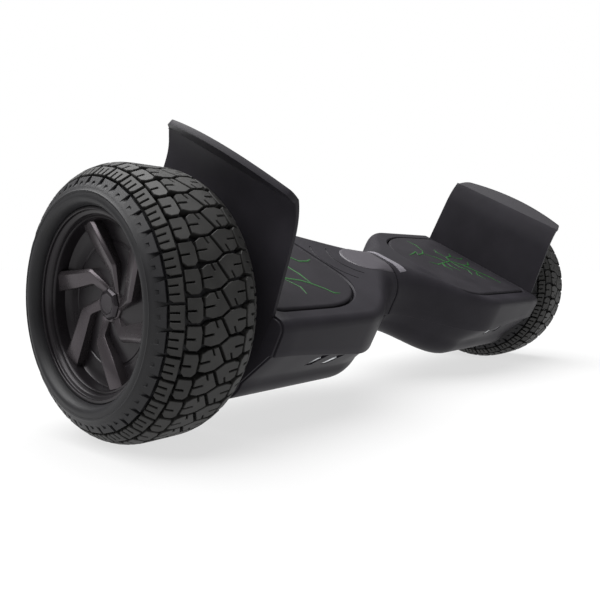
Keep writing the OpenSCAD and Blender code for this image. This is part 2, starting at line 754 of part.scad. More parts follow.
hinge_z = 15.5;
hinge_out = 4.5;
module charge_cap() {
    face = foot_half_depth;
    color("#1a1a1b") on_side("left") translate([rear_control_x, 0, rear_control_z]) difference() {
        union() {
            rotate([-90, 0, 0]) translate([0, 0, face + 2.5]) cylinder(r = 12.4, h = 2.4);
            for (s = [-1, 1]) {
                translate([s * 6 - 2, face + hinge_out, hinge_z]) rotate([0, 90, 0]) cylinder(r = 2.2, h = 4);
                block([s * 6 - 2, face + 2.5, 8], [s * 6 + 2, face + 4.9, hinge_z]);
            }
        }
        translate([-10, face + hinge_out, hinge_z]) rotate([0, 90, 0]) cylinder(r = 1 + running_fit, h = 20);
    }
}

// Outline of the status lens from above: a tongue that starts at the middle joint
module lens_outline(grow) {
    intersection() {
        translate([3 - grow, 0]) union() {
            translate([0, -25 - grow]) square([34, 50 + 2 * grow]);
            translate([34, 0]) circle(r = 25 + grow);
        }
        translate([3 - grow, -40]) square([80, 80]);
    }
}

module trim_outline(grow) {
    polygon([[3 - grow, 26 + grow], [11 + grow, 26 + grow], [20 + grow, -24 - grow], [9 - grow, -24 - grow]]);
}

module status_lens() {
    color("#d9dadf") on_side("left") intersection() {
        upper_wall(-0.8, wall);
        translate([0, 0, 20]) linear_extrude(40) lens_outline(0);
    }
}

module centre_trim() {
    color("#c8cacd") on_side("right") intersection() {
        upper_wall(-0.4, wall);
        translate([0, 0, 20]) linear_extrude(40) trim_outline(0);
    }
}

frame_casting("left");  // left_frame
top_shell("left");  // left_top_shell
bottom_shell("left");  // left_bottom_shell
fender("left");  // left_fender
foot_mat("left");  // left_foot_mat
sensor_board("left");  // left_sensor_board
axle_clamp("left");  // left_axle_clamp
clamp_bolts("left");  // left_clamp_bolts
shell_screws("left");  // left_shell_screws
light_lenses("left");  // left_light_lenses
axle("left");  // left_axle
stator("left");  // left_stator
windings("left");  // left_windings
motor_cable("left");  // left_motor_cable
tyre("left");  // left_tyre
rim("left");  // left_rim
magnets("left");  // left_magnets
side_cover("left");  // left_side_cover
side_cover_screws("left");  // left_side_cover_screws
wheel_bearings("left");  // left_wheel_bearings
wheel_cover("left");  // left_wheel_cover
hub_cap("left");  // left_hub_cap
frame_casting("right");  // right_frame
top_shell("right");  // right_top_shell
bottom_shell("right");  // right_bottom_shell
fender("right");  // right_fender
foot_mat("right");  // right_foot_mat
sensor_board("right");  // right_sensor_board
axle_clamp("right");  // right_axle_clamp
clamp_bolts("right");  // right_clamp_bolts
shell_screws("right");  // right_shell_screws
light_lenses("right");  // right_light_lenses
axle("right");  // right_axle
stator("right");  // right_stator
windings("right");  // right_windings
motor_cable("right");  // right_motor_cable
tyre("right");  // right_tyre
rim("right");  // right_rim
magnets("right");  // right_magnets
side_cover("right");  // right_side_cover
side_cover_screws("right");  // right_side_cover_screws
wheel_bearings("right");  // right_wheel_bearings
wheel_cover("right");  // right_wheel_cover
hub_cap("right");  // right_hub_cap
centre_shaft();
centre_bush();
centre_seal();
shaft_circlip();
limit_pin();
bridge_cable();
battery_pack();
battery_cover();
battery_cover_screws();
main_board();
power_button();
charge_port();
charge_cap();
status_lens();
centre_trim();
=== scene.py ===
"""Looks of a self balancing two-wheel board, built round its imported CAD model.

Pieces are drawn level, in millimetres, with the axle line as origin: x along the axle, y back, z up. They are
drawn for the right half. place() mirrors them for the left half, leans them with the board and gives metres.
"""

import json
import math

import bmesh
import bpy
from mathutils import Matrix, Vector


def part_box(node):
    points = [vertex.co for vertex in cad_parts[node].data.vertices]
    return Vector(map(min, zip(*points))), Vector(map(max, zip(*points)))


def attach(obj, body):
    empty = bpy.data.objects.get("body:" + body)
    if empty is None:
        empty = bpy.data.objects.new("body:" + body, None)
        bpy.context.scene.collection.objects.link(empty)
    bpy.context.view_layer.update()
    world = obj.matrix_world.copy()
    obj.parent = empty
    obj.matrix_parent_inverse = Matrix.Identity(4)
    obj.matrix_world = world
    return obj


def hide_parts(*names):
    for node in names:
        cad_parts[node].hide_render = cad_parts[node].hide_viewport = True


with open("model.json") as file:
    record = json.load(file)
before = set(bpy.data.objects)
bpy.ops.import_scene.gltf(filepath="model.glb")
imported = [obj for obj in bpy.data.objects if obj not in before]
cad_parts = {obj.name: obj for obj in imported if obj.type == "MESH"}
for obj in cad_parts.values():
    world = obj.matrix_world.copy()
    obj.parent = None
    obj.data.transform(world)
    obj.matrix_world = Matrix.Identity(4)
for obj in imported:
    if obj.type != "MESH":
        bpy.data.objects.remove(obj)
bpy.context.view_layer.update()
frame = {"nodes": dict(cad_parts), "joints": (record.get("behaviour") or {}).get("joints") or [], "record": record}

SIDES = {"left": -1, "right": 1}
press_axis = next(j for j in frame["joints"] if j["name"] == "left_pad_press")["axis"]
LEAN = math.atan2(press_axis[1], -press_axis[2])
axle_low, axle_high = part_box("left_axle")
AXLE_Z = (axle_low[2] + axle_high[2]) / 2
tyre_low, tyre_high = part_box("right_tyre")
HALF_TRACK = (tyre_low[0] + tyre_high[0]) / 2 * 1000

# Body sections, the same as in the CAD model. A pair is a value at the waist and one under the foot
WALL = 3.0
MIDDLE_GAP = 1.5
BODY_END = 254.0
FULL_DEPTH_X = 140.0       # the deck has its full depth from here on
FULL_BELLY_X = 120.0       # the belly too, from here on
DECK_Z = 35.0
MAT_TOP = 36.0
BELLY_Z = 63.0             # how far the belly lies under the axle
HALF_DEPTH = (39, 102)
TOP_Z = (42, DECK_Z)
TOP_CORNER_R = (30, 9)
BELLY_HALF_DEPTH = (32, 81)
BELLY_CORNER_R = (20, 30)
BELLY_CORNER_Z = (-22, BELLY_CORNER_R[1] - BELLY_Z)
SEAM_Z = (-10, 5)
SEAM_CLIMB_X = (70, 266)   # the seam between the shells climbs from the first x to the second
SEAM_STEP = 2.5


def mix(a, b, k):
    return a + (b - a) * k


def ease(t):
    u = min(1.0, max(0.0, t))
    return u * u * (3 - 2 * u)


def along(x, pair, full_x=FULL_DEPTH_X):
    """A value that eases from the first of the pair at x = 0 to the second at full_x."""
    return mix(*pair, ease(x / full_x))


def half_depth(x):
    return along(x, HALF_DEPTH)


def top_z(x):
    return along(x, TOP_Z)


def corner_r(x):
    return along(x, TOP_CORNER_R)


def seam_z(x):
    start, end = SEAM_CLIMB_X
    return mix(*SEAM_Z, ease((x - start) / (end - start)))


def quarter_turn(steps):
    """Angles from 0 to a right angle."""
    return [math.pi / 2 * i / steps for i in range(steps + 1)]


def surface_z(x, y):
    """Height of the upper shell at a point that is y away from the centre line."""
    flat = half_depth(x) - corner_r(x)
    over = max(0.0, abs(y) - flat)
    return top_z(x) - corner_r(x) + math.sqrt(max(0.0, corner_r(x) ** 2 - over ** 2))


def upper_half(x, e):
    """Outline of the upper shell from its seam to the centre line, moved inwards by e."""
    d = half_depth(x) - e
    t = top_z(x) - e
    r = max(corner_r(x) - e, 2)
    lip = [(d - 1, seam_z(x)), (d - 0.3, seam_z(x) + 0.3), (d, seam_z(x) + 1)]
    side = [(d, mix(seam_z(x) + 1, t - r, k / 4)) for k in range(1, 4)]
    arc = [(d - r + r * math.cos(a), t - r + r * math.sin(a)) for a in quarter_turn(12)]
    flat = [((d - r) * (1 - k / 5), t) for k in range(1, 5)]
    return lip + side + arc + flat


def lower_half(x, e):
    """Outline of the lower shell from its seam to the centre line, moved inwards by e."""
    d = along(x, BELLY_HALF_DEPTH, FULL_BELLY_X) - e
    r = along(x, BELLY_CORNER_R, FULL_BELLY_X) - e
    z = along(x, BELLY_CORNER_Z, FULL_BELLY_X)
    top = (half_depth(x) - SEAM_STEP - e, seam_z(x) - 0.3)
    panel = [(mix(top[0], d, k / 5), mix(top[1], z, k / 5)) for k in range(5)]
    arc = [(d - r + r * math.cos(a), z - r * math.sin(a)) for a in quarter_turn(10)]
    flat = [((d - r) * (1 - k / 5), z - r) for k in range(1, 5)]
    return panel + arc + flat


def full_outline(half):
    """Both halves of an outline, from its back over the centre line to its front."""
    middle = (0.0, half[-1][1])
    return half + [middle] + [(-y, z) for y, z in reversed(half)]


# ---------------------------------------------------------------- mesh helpers

def place(points, side):
    """Points drawn level, in millimetres, for the right half, put in the frame in metres."""
    c, s = math.cos(LEAN), math.sin(LEAN)
    return [(side * x / 1000, (y * c - z * s) / 1000, (y * s + z * c) / 1000 + AXLE_Z) for x, y, z in points]


def loft(rows, caps=True):
    """Closed rings joined into one skin, with flat ends."""
    n = len(rows[0])
    points = [p for row in rows for p in row]
    faces = []
    for i in range(len(rows) - 1):
        for j in range(n):
            a, b = i * n + j, i * n + (j + 1) % n
            faces.append((a, b, b + n, a + n))
    if caps:
        faces.append(tuple(range(n)))
        faces.append(tuple(range((len(rows) - 1) * n, len(rows) * n)))
    return points, faces


def lathe(profile, segments):
    """A closed profile of (radius, distance out from the wheel's middle) turned about the axle."""
    rows = []
    for i in range(segments):
        a = 2 * math.pi * i / segments
        rows.append([(HALF_TRACK + h, r * math.cos(a), r * math.sin(a)) for r, h in profile])
    points, faces = loft(rows, caps=False)
    n = len(profile)
    last = (segments - 1) * n
    faces += [(last + j, last + (j + 1) % n, (j + 1) % n, j) for j in range(n)]
    return points, faces


def circle(cx, cy, r, sides=24):
    turns = (2 * math.pi * k / sides for k in range(sides))
    return [(cx + r * math.cos(a), cy + r * math.sin(a)) for a in turns]


def prism(outline, low, high):
    """A level outline raised from one height to another."""
    return loft([[(x, y, low) for x, y in outline], [(x, y, high) for x, y in outline]])


def joined(*meshes):
    """Several meshes as one."""
    points, faces = [], []
    for some_points, some_faces in meshes:
        start = len(points)
        points += some_points
        faces += [tuple(i + start for i in f) for f in some_faces]
    return points, faces


def add_object(name, data):
    obj = bpy.data.objects.new(name, data)
    bpy.context.collection.objects.link(obj)
    return obj


def new_object(name, mesh_data, side):
    """An object of points drawn for the right half, put on the given side with its faces turned outwards."""
    points, faces = mesh_data
    mesh = bpy.data.meshes.new(name)
    mesh.from_pydata(place(points, side), [], faces)
    work = bmesh.new()
    work.from_mesh(mesh)
    bmesh.ops.remove_doubles(work, verts=work.verts, dist=1e-6)
    bmesh.ops.recalc_face_normals(work, faces=work.faces)
    work.to_mesh(mesh)
    work.free()
    return add_object(name, mesh)


def bake_modifiers(obj):
    graph = bpy.context.evaluated_depsgraph_get()
    mesh = bpy.data.meshes.new_from_object(obj.evaluated_get(graph))
    obj.modifiers.clear()
    obj.data = mesh


def combine(obj, others, operation):
    """Adds to obj, or cuts from it, each of the other objects, which are used up."""
    for other in others:
        step = obj.modifiers.new(operation, "BOOLEAN")
        step.operation = operation
        step.solver = "EXACT"
        step.object = other
    bake_modifiers(obj)
    for other in others:
        bpy.data.objects.remove(other)


def bevel(obj, width_mm, segments=2, angle=40):
    step = obj.modifiers.new("bevel", "BEVEL")
    step.width = width_mm / 1000
    step.segments = segments
    step.limit_method = "ANGLE"
    step.angle_limit = math.radians(angle)
    bake_modifiers(obj)


def finish_piece(obj, body, slot_name, replaced=(), angle=35, material=None):
    """Gives a piece its shading, material and body, and hides the CAD nodes that it stands for."""
    mesh = obj.data
    mesh.polygons.foreach_set("use_smooth", [True] * len(mesh.polygons))
    mesh.set_sharp_from_angle(angle=math.radians(angle))
    mesh.materials.clear()
    mesh.materials.append(material or MATERIALS[slot_name])
    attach(obj, body)
    if replaced:
        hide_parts(*replaced)


# ---------------------------------------------------------------- materials

def finish(name, colour, rough, metal=0.0, grain=900, bump=0.02, spread=0.12, rough_spread=0.08,
           coat=0.0, blotch=30, gloss=0.3):
    """A moulded, cast or painted surface: blotchy colour and roughness, with a fine grain in its normals.
    grain and blotch are features per metre, bump is the grain's height in millimetres."""
    m = bpy.data.materials.new(name)
    m.use_nodes = True
    nodes, links = m.node_tree.nodes, m.node_tree.links
    shader = nodes["Principled BSDF"]
    shader.inputs["Metallic"].default_value = metal
    shader.inputs["Specular IOR Level"].default_value = gloss
    shader.inputs["Coat Weight"].default_value = coat
    shader.inputs["Coat Roughness"].default_value = 0.12
    where = nodes.new("ShaderNodeTexCoord")

    cloud = nodes.new("ShaderNodeTexNoise")
    cloud.inputs["Scale"].default_value = blotch
    cloud.inputs["Detail"].default_value = 6
    links.new(where.outputs["Object"], cloud.inputs["Vector"])
    ramp = nodes.new("ShaderNodeValToRGB")
    dark = [c * (1 - spread) for c in colour]
    light = [c * (1 + spread) for c in colour]
    ramp.color_ramp.elements[0].position = 0.35
    ramp.color_ramp.elements[0].color = (*dark, 1)
    ramp.color_ramp.elements[1].position = 0.68
    ramp.color_ramp.elements[1].color = (*light, 1)
    links.new(cloud.outputs["Fac"], ramp.inputs["Fac"])
    links.new(ramp.outputs["Color"], shader.inputs["Base Color"])

    wear = nodes.new("ShaderNodeMapRange")
    wear.inputs["To Min"].default_value = rough - rough_spread
    wear.inputs["To Max"].default_value = rough + rough_spread
    links.new(cloud.outputs["Fac"], wear.inputs["Value"])
    links.new(wear.outputs["Result"], shader.inputs["Roughness"])

    fine = nodes.new("ShaderNodeTexNoise")
    fine.inputs["Scale"].default_value = grain
    fine.inputs["Detail"].default_value = 3
    links.new(where.outputs["Object"], fine.inputs["Vector"])
    rise = nodes.new("ShaderNodeBump")
    rise.inputs["Strength"].default_value = 0.6
    rise.inputs["Distance"].default_value = bump / 1000
    links.new(fine.outputs["Fac"], rise.inputs["Height"])
    links.new(rise.outputs["Normal"], shader.inputs["Normal"])
    return m


def dotted(name, colour, dark, rough):
    """A satin strip with a fine grid of small dark dimples."""
    m = finish(name, colour, rough, metal=0.3, grain=1200, bump=0.01)
    nodes, links = m.node_tree.nodes, m.node_tree.links
    cells = nodes.new("ShaderNodeTexVoronoi")
    cells.inputs["Scale"].default_value = 700
    cells.inputs["Randomness"].default_value = 0.1
    where = nodes["Texture Coordinate"]
    links.new(where.outputs["Object"], cells.inputs["Vector"])
    ramp = nodes.new("ShaderNodeValToRGB")
    ramp.color_ramp.elements[0].position = 0.22
    ramp.color_ramp.elements[0].color = (*dark, 1)
    ramp.color_ramp.elements[1].position = 0.34
    ramp.color_ramp.elements[1].color = (*colour, 1)
    links.new(cells.outputs["Distance"], ramp.inputs["Fac"])
    links.new(ramp.outputs["Color"], nodes["Principled BSDF"].inputs["Base Color"])
    return m


MATERIALS = {
    "cast_aluminium": finish("cast_aluminium", (0.5, 0.51, 0.53), 0.48, 0.9, grain=700, bump=0.05),
    "shell_plastic": finish("shell_plastic", (0.0215, 0.0200, 0.0240), 0.42, grain=1500, bump=0.018,
                            spread=0.1, gloss=0.07),
    "mat_rubber": finish("mat_rubber", (0.0210, 0.0195, 0.0230), 0.55, grain=1100, bump=0.05, gloss=0.07),
    "circuit_board": finish("circuit_board", (0.015, 0.13, 0.06), 0.35, grain=1500, bump=0.02, coat=0.3),
    "screw_steel": finish("screw_steel", (0.12, 0.12, 0.125), 0.35, 1.0, grain=1500),
    "clear_lens": finish("clear_lens", (0.85, 0.87, 0.9), 0.12, grain=400, bump=0.03, coat=0.5, gloss=0.5),
    "axle_steel": finish("axle_steel", (0.55, 0.55, 0.56), 0.24, 1.0, grain=1400),
    "motor_steel": finish("motor_steel", (0.3, 0.32, 0.34), 0.36, 0.9, grain=2500, bump=0.03),
    "copper_wire": finish("copper_wire", (0.7, 0.3, 0.12), 0.3, 0.9, grain=1200, bump=0.08, coat=0.3),
    "cable_rubber": finish("cable_rubber", (0.014, 0.014, 0.015), 0.5, grain=900, bump=0.03),
    "tyre_rubber": finish("tyre_rubber", (0.0080, 0.0078, 0.0092), 0.50, grain=1300, bump=0.05,
                          spread=0.2, blotch=45),
    "rim_aluminium": finish("rim_aluminium", (0.016, 0.014, 0.016), 0.30, 0.4, grain=1600, bump=0.012),
    "magnet": finish("magnet", (0.45, 0.46, 0.48), 0.25, 1.0, grain=1300),
    "bearing_steel": finish("bearing_steel", (0.6, 0.6, 0.62), 0.2, 1.0, grain=1300),
    "cover_plastic": finish("cover_plastic", (0.066, 0.058, 0.063), 0.27, 0.7, grain=1700, bump=0.014),
    "hub_plastic": finish("hub_plastic", (0.036, 0.032, 0.036), 0.27, 0.7, grain=1700, bump=0.014),
    "bronze": finish("bronze", (0.5, 0.33, 0.13), 0.3, 1.0, grain=1200),
    "seal_rubber": finish("seal_rubber", (0.006, 0.006, 0.006), 0.55, grain=900, bump=0.03),
    "battery_wrap": finish("battery_wrap", (0.02, 0.08, 0.32), 0.28, grain=250, bump=0.2, coat=0.4),
    "button_metal": finish("button_metal", (0.5, 0.51, 0.53), 0.3, 0.9, grain=1500),
    "port_metal": finish("port_metal", (0.3, 0.31, 0.33), 0.34, 0.9, grain=1500),
    "cap_rubber": finish("cap_rubber", (0.010, 0.010, 0.011), 0.55, grain=1000, bump=0.04),
    "pearl_lens": finish("pearl_lens", (0.060, 0.055, 0.064), 0.33, grain=900, bump=0.008, spread=0.05),
    "trim_plastic": dotted("trim_plastic", (0.22, 0.21, 0.235), (0.09, 0.085, 0.095), 0.4),
}
GREEN_PAINT = finish("green_paint", (0.006, 0.085, 0.010), 0.45, grain=800, bump=0.04, spread=0.2)
TREAD_RUBBER = finish("tread_rubber", (0.0200, 0.0196, 0.0188), 0.58, grain=1300, bump=0.06,
                      spread=0.25, blotch=60)

for row in frame["record"]["subparts"]:
    node = frame["nodes"][row["node"]]
    node.data.materials.clear()
    node.data.materials.append(MATERIALS[row["material_slot"]])


# ---------------------------------------------------------------- body

# Radius of the rounding round each end of a shell, and its inset half way round
MIDDLE_EDGE = (1.3, 0.38)
OUTER_EDGE = (0.8, 0.23)
WAIST_STEPS = 44
FOOT_STEPS = 6


def shell_stations():
    """Pairs of x and inset: the insets round the shell's two end edges."""
    start = MIDDLE_GAP / 2
    start_r, start_half = MIDDLE_EDGE
    end_r, end_half = OUTER_EDGE
    waist = [(mix(start + start_r, FULL_DEPTH_X, i / WAIST_STEPS), 0.0) for i in range(WAIST_STEPS + 1)]
    foot = [(mix(FULL_DEPTH_X, BODY_END - end_r, i / FOOT_STEPS), 0.0) for i in range(1, FOOT_STEPS + 1)]
    first = [(start, start_r), (start + start_half, start_half)]
    last = [(BODY_END - end_half, end_half), (BODY_END, end_r)]
    return first + waist + foot + last


def wall_between(half):
    """A shell of even thickness inside the outline that half gives at each x and inset."""
    rows = []
    for x, margin in shell_stations():
        outer = full_outline(half(x, margin))
        inner = full_outline(half(x, WALL))
        rows.append([(x, y, z) for y, z in outer + inner[::-1]])
    return loft(rows)


# Inner end of each mat, and the half axes of the oval corners at its front and back
MAT_SHAPE = {"left": (101, (80, 61), (43, 42)), "right": (75, (43, 42), (98, 70))}
MAT_OUTER_X = 249
MAT_HALF = 81
MAT_OUTER_R = 12

# Levels of (grow, height): the mat from its underside to its rounded top edge, and its pocket in the deck
MAT_LEVELS = [
    (-0.8, 30.4), (-0.3, 31), (-0.3, 33.4), (-0.7, 34.6), (-1.4, 35.4), (-2.4, 35.85), (-3.8, MAT_TOP)]
POCKET_LEVELS = [(1.8, 28.5), (1.8, 33.6), (2.4, 34.4), (3.3, 35.15), (5.2, 44)]
TRAY_GROW = 3
TRAY_HEIGHTS = (26, 34.2)


def mat_outline(which, grow):
    """Outline of the mat, moved outwards by grow."""
    inner, front, back = MAT_SHAPE[which]
    outer = (MAT_OUTER_R, MAT_OUTER_R)
    corners = [
        (MAT_OUTER_X - outer[0], MAT_HALF - outer[1], outer, 0),
        (inner + back[0], MAT_HALF - back[1], back, 90),
        (inner + front[0], front[1] - MAT_HALF, front, 180),
        (MAT_OUTER_X - outer[0], outer[1] - MAT_HALF, outer, 270)]
    steps = 20
    points = []
    for cx, cy, (rx, ry), start in corners:
        for i in range(steps + 1):
            a = math.radians(start + 90 * i / steps)
            points.append((cx + (rx + grow) * math.cos(a), cy + (ry + grow) * math.sin(a)))
    return points


def mat_stack(which, levels):
    """The mat's outline at levels of (grow, height), joined into one skin."""
    return loft([[(x, y, z) for x, y in mat_outline(which, grow)] for grow, z in levels])


def tube(path, r, sides=8):
    """A closed tube round a path of points that lies nearly level."""
    rows = []
    for i, p in enumerate(path):
        ahead = Vector(path[min(i + 1, len(path) - 1)]) - Vector(path[max(i - 1, 0)])
        across = ahead.cross(Vector((0, 0, 1))).normalized()
        up = across.cross(ahead).normalized()
        ring = []
        for k in range(sides):
            a = 2 * math.pi * k / sides
            ring.append(tuple(Vector(p) + across * r * math.cos(a) + up * r * math.sin(a)))
        rows.append(ring)
    return loft(rows)


LENS_CENTRE_X = 37
LENS_R = 25
GROOVES = [(40, 46), (59, 38)]   # radius round the lens's centre, and how far it runs to each side in degrees
GROOVE_R = 0.95
GROOVE_LIFT = 0.1          # of the groove's axis above the shell

# Holes in the back: for the charging port on the left half, for the power button on the right half
CONTROL_X = 150
CONTROL_Z = 14
CONTROL_HOLE_R = {"left": 11.2, "right": 8.4}
CONTROL_HOLE_Y = (80, 130)


def rod_y(x, z, r, y0, y1):
    """A round rod along y."""
    return loft([[(px, y, pz) for px, pz in circle(x, z, r, 40)] for y in (y0, y1)])


def groove_path(r, reach, steps=24):
    path = []
    for i in range(steps + 1):
        a = math.radians(mix(-reach, reach, i / steps))
        x, y = LENS_CENTRE_X + r * math.cos(a), r * math.sin(a)
        path.append((x, y, surface_z(x, y) + GROOVE_LIFT))
    return path


def top_shell(which):
    side = SIDES[which]
    obj = new_object(which + "_upper_shell", wall_between(upper_half), side)
    tray = new_object("tray", prism(mat_outline(which, TRAY_GROW), *TRAY_HEIGHTS), side)
    combine(obj, [tray], "UNION")
    cutters = [new_object("pocket", mat_stack(which, POCKET_LEVELS), side)]
    if which == "left":
        for r, reach in GROOVES:
            cutters.append(new_object("groove", tube(groove_path(r, reach), GROOVE_R), side))
    hole = rod_y(CONTROL_X, CONTROL_Z, CONTROL_HOLE_R[which], *CONTROL_HOLE_Y)
    cutters.append(new_object("hole", hole, side))
    combine(obj, cutters, "DIFFERENCE")
    finish_piece(obj, which + "_half", "shell_plastic", [which + "_top_shell"], angle=32)


LIGHT_X = (152, 176)
LIGHT_W = 9
LIGHT_SKEW = 8             # how far a slot's lower end lies further out than its upper end
LIGHT_H = 17
LIGHT_DROP = 11.5          # of the slots' middle under the step at the seam
LENS_SHARE = 0.6           # of a slot's height that the clear lens fills

BATTERY_OPENING_X = (118, 237)
BATTERY_OPENING_HALF = 51.4
SCREW_SPOTS = ((62, 34), (150, 62), (226, 62))
SCREW_HOLE_R = 3.7
SCREW_HOLE_TOP = -39
BELOW_BELLY = -80          # cutters reach down to here


def on_panel(x0, px, py, out):
    """A point on the sloping front panel: px along it from x0, py up it from the light slots' middle."""
    drop_y = along(LIGHT_X[0], BELLY_HALF_DEPTH, FULL_BELLY_X) - half_depth(LIGHT_X[0]) + SEAM_STEP
    drop_z = along(LIGHT_X[0], BELLY_CORNER_Z, FULL_BELLY_X) - seam_z(LIGHT_X[0])
    tilt = math.atan2(-drop_y, -drop_z)
    y, z = -out, py - LIGHT_DROP
    return (x0 + px,
            SEAM_STEP - half_depth(x0) + y * math.cos(tilt) - z * math.sin(tilt),
            seam_z(x0) + y * math.sin(tilt) + z * math.cos(tilt))


def slot_prism(x0, corners, inside, outside):
    """A block through the front panel, from inside mm behind its face to outside mm in front."""
    return loft([[on_panel(x0, px, py, out) for px, py in corners] for out in (-inside, outside)])


def slot_corners(grow, low=0.0, high=1.0):
    """Corners of a light slot between two heights, as shares of its full height."""
    corners = []
    for share, first in ((low, True), (high, False)):
        shift = LIGHT_SKEW * (1 - share)
        y = (share - 0.5) * LIGHT_H + (-grow if first else grow)
        ends = [(shift - grow, y), (shift + LIGHT_W + grow, y)]
        corners += ends if first else ends[::-1]
    return corners


def bottom_shell(which):
    side = SIDES[which]
    obj = new_object(which + "_lower_shell", wall_between(lower_half), side)
    cutters = [new_object("slot", slot_prism(x, slot_corners(0.2), 8, 6), side) for x in LIGHT_X]
    if which == "left":
        (x0, x1), half = BATTERY_OPENING_X, BATTERY_OPENING_HALF
        opening = prism([(x0, -half), (x1, -half), (x1, half), (x0, half)], BELOW_BELLY, 0.1 + WALL - BELLY_Z)
        cutters.append(new_object("opening", opening, side))
    for x, y in SCREW_SPOTS:
        for s in (-1, 1):
            hole = prism(circle(x, s * y, SCREW_HOLE_R), BELOW_BELLY, SCREW_HOLE_TOP)
            cutters.append(new_object("screw_hole", hole, side))
    combine(obj, cutters, "DIFFERENCE")
    finish_piece(obj, which + "_half", "shell_plastic", [which + "_bottom_shell"], angle=32)

    lenses = joined(*[slot_prism(x, slot_corners(-0.3, 0.0, LENS_SHARE), 3.5, -0.6) for x in LIGHT_X])
    lens = new_object(which + "_lamp_lenses", lenses, side)
    bevel(lens, 0.4)
    finish_piece(lens, which + "_half", "clear_lens", [which + "_light_lenses"])
    backs = joined(*[slot_prism(x, slot_corners(0.1), 7, -4) for x in LIGHT_X])
    back = new_object(which + "_lamp_backs", backs, side)
    bevel(back, 0.3)
    finish_piece(back, which + "_half", "shell_plastic", material=MATERIALS["seal_rubber"])


FENDER_X = BODY_END + 0.3
FENDER_LOW_Z = 2.0
FENDER_THICK = 3.0
LIP_THICK = 5.0
FLARE_START = 94.0         # height at which the fender starts to roll outwards
FLARE_R = (24.0, 44.0)     # how far the roll would reach out and up over a quarter turn
FLARE_END = math.radians(45)
LIP_SLOPE = math.radians(33)
LIP_TURN = 1.0             # direction of the lip's thickness, in radians from outwards to down
LIP_WIDTH = (9.0, 22.0)    # of the flat lip: at the fender's two ends, and in its middle
FENDER_FOOT = 88.0         # half of the fender's depth at the deck
FENDER_LIP = 81.0          # and at its lip
LIP_SHIFT = 6.0            # the lip sits this far behind the middle of the deck
FRONT_CORNER = 3.0
BACK_CORNER = 14.0
PLATE_X = (FENDER_X + 0.25, FENDER_X + 2.6)
PLATE_INSET = 1.5          # of the end plate's outline inside the shells' outline


def fender_y(share, z):
    """Place of a column of the fender at height z, from its share of the half depth."""
    up = min(1, (max(z, DECK_Z) - DECK_Z) / 100)
    return share * mix(FENDER_FOOT, FENDER_LIP, up) + LIP_SHIFT * up


def corner_columns(r, steps):
    """Pairs of (share of the half depth, drop of the top edge) round a corner of radius r."""
    turns = quarter_turn(steps)[1:]
    return [((FENDER_LIP - r + r * math.sin(b)) / FENDER_LIP, r * (1 - math.cos(b))) for b in turns]


def fender_columns():
    """The same pairs from the fender's front edge to its back edge."""
    front = [(-share, drop) for share, drop in reversed(corner_columns(FRONT_CORNER, 4))]
    first, last = FRONT_CORNER / FENDER_LIP - 1, 1 - BACK_CORNER / FENDER_LIP
    middle = [(mix(first, last, i / 24), 0.0) for i in range(25)]
    return front + middle + corner_columns(BACK_CORNER, 9)


def flare_profile(share, drop):
    """Points (out, up, direction) of the fender's inner face from the start of its roll to its edge."""
    width = mix(LIP_WIDTH[1], LIP_WIDTH[0], share * share)
    crease_out = FLARE_R[0] * (1 - math.cos(FLARE_END))
    crease_up = FLARE_R[1] * math.sin(FLARE_END)
    top = crease_up + width * math.sin(LIP_SLOPE) - drop
    end = math.asin(min(math.sin(FLARE_END), top / FLARE_R[1]))
    points = []
    for i in range(11):
        a = end * i / 10
        points.append((FLARE_R[0] * (1 - math.cos(a)), FLARE_R[1] * math.sin(a), a))
    flat = max(0.02, (top - crease_up) / math.sin(LIP_SLOPE))
    for i in range(1, 6):
        run = flat * i / 5
        out, up = crease_out + run * math.cos(LIP_SLOPE), crease_up + run * math.sin(LIP_SLOPE)
        points.append((out, up, LIP_TURN))
    return points


def fender(which):
    side = SIDES[which]
    inner_grid, outer_grid = [], []
    for share, drop in fender_columns():
        inner, outer = [], []
        for i in range(8):
            z = mix(FENDER_LOW_Z, FLARE_START, i / 8)
            inner.append((FENDER_X, fender_y(share, z), z))
            outer.append((FENDER_X + FENDER_THICK, fender_y(share, z), z))
        profile = flare_profile(share, drop)
        for i, (out, up, a) in enumerate(profile):
            z = FLARE_START + up
            y = fender_y(share, z)
            thick = mix(FENDER_THICK, LIP_THICK, (i / (len(profile) - 1)) ** 2)
            inner.append((FENDER_X + out, y, z))
            outer.append((FENDER_X + out + thick * math.cos(a), y, z - thick * math.sin(a)))
        inner_grid.append(inner)
        outer_grid.append(outer)
    sheet = loft([a + b[::-1] for a, b in zip(inner_grid, outer_grid)])
    upper = full_outline(upper_half(BODY_END, PLATE_INSET)[2:])
    lower = full_outline(lower_half(BODY_END, PLATE_INSET))
    plate = loft([[(x, y, z) for y, z in upper + lower[::-1]] for x in PLATE_X])
    obj = new_object(which + "_mudguard", sheet, side)
    bevel(obj, 0.9, segments=3, angle=50)
    finish_piece(obj, which + "_half", "shell_plastic", [which + "_fender"], angle=30)
    end = new_object(which + "_end_plate", plate, side)
    bevel(end, 0.5, segments=2, angle=50)
    finish_piece(end, which + "_half", "shell_plastic")


